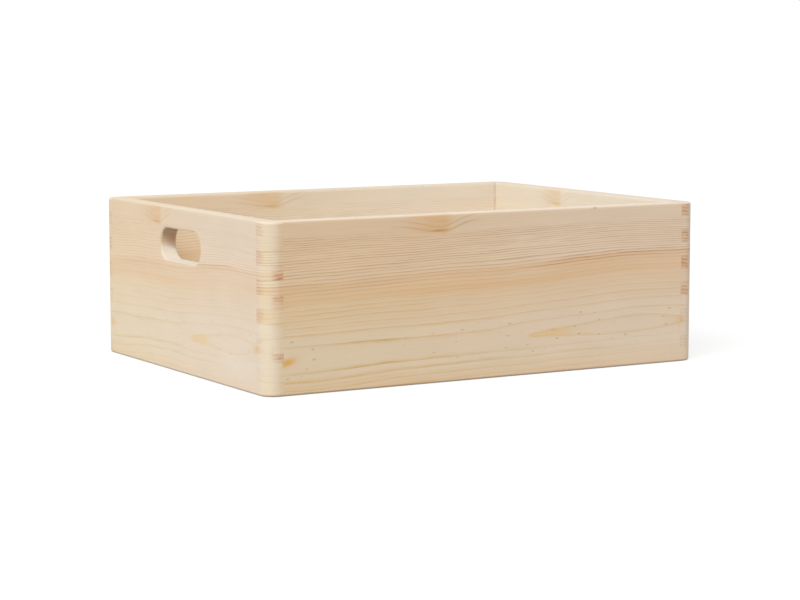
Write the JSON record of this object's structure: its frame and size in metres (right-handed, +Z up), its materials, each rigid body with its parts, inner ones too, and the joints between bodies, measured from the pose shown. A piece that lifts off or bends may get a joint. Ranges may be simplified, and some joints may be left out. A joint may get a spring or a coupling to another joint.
{
  "type": "storage crate",
  "caption": "Open-top rectangular pine storage crate with finger-jointed rounded corners, an obround hand hole in each short end and a plywood bottom held in a groove.",
  "frame": {"origin": "middle of the footprint, on the surface that the crate stands on", "axes": "+X along the crate's length, towards its right end; +Y from the front board to the back board; +Z up"},
  "size_m": [0.4, 0.3, 0.132],
  "materials": {
    "pine": "sanded, untreated",
    "plywood": "sanded, untreated"
  },
  "bodies": {
    "root": {"front_board": "pine", "back_board": "pine", "left_end_board": "pine", "right_end_board": "pine", "bottom_panel": "plywood"}
  },
  "joints": []
}
